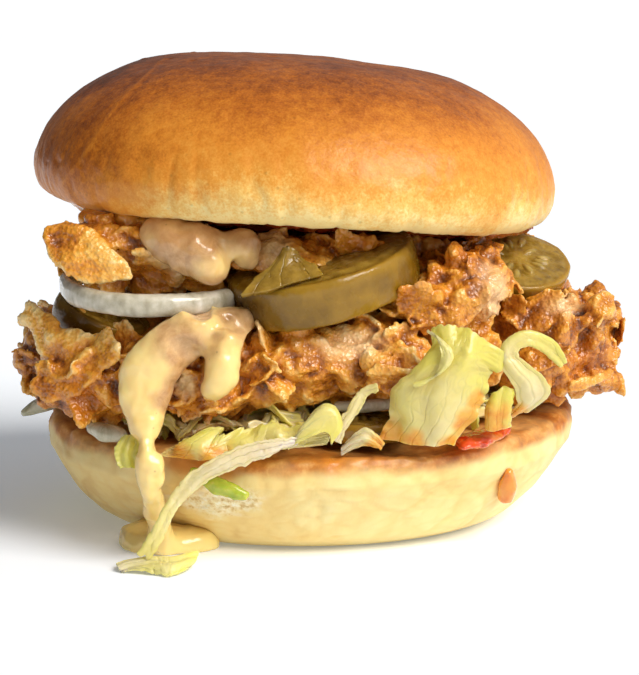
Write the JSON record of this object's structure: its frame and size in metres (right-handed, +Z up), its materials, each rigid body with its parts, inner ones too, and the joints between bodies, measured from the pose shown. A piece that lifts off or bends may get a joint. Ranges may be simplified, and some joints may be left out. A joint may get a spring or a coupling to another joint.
{
  "type": "chicken burger",
  "caption": "Fried chicken burger: glossy domed bun, ragged crisp chicken, pickle slices, onion, shredded lettuce, a cream sauce that runs to the table and red chilli sauce.",
  "frame": {"origin": "centre of the heel's flat underside, on the table", "axes": "+Z up, +X to the right and -Y towards the front, where the sauce runs down"},
  "size_m": [0.1278, 0.1148, 0.0941],
  "materials": {
    "bun_crust": "egg-washed, satin golden brown",
    "heel_skin": "pale soft bread",
    "fried_coating": "crisp oily flakes",
    "pickle": "wet",
    "onion": "wet, translucent white",
    "lettuce": "thin, damp leaf",
    "cream_sauce": "smooth, wet",
    "chilli_sauce": "clear, wet"
  },
  "bodies": {
    "root": {"crown": "bun_crust", "heel": "heel_skin", "chicken_lower": "fried_coating", "chicken_middle": "fried_coating", "chicken_right": "fried_coating", "chicken_upper": "fried_coating", "pickle_front": "pickle", "pickle_right": "pickle", "pickle_left": "pickle", "pickle_low": "pickle", "onion_ring": "onion", "onion_sliver": "onion", "onion_bit": "onion", "onion_strip": "onion", "lettuce_bed": "lettuce", "lettuce_front": "lettuce", "lettuce_folded": "lettuce", "lettuce_curl": "lettuce", "lettuce_flap": "lettuce", "lettuce_tube": "lettuce", "lettuce_edge": "lettuce", "lettuce_rib": "lettuce", "lettuce_frill": "lettuce", "lettuce_strip": "lettuce", "lettuce_floor": "lettuce", "lettuce_bit": "lettuce", "cream_flow": "cream_sauce", "cream_top": "cream_sauce", "chilli_layer": "chilli_sauce", "chilli_pool": "chilli_sauce", "chilli_drop": "chilli_sauce"}
  },
  "joints": []
}
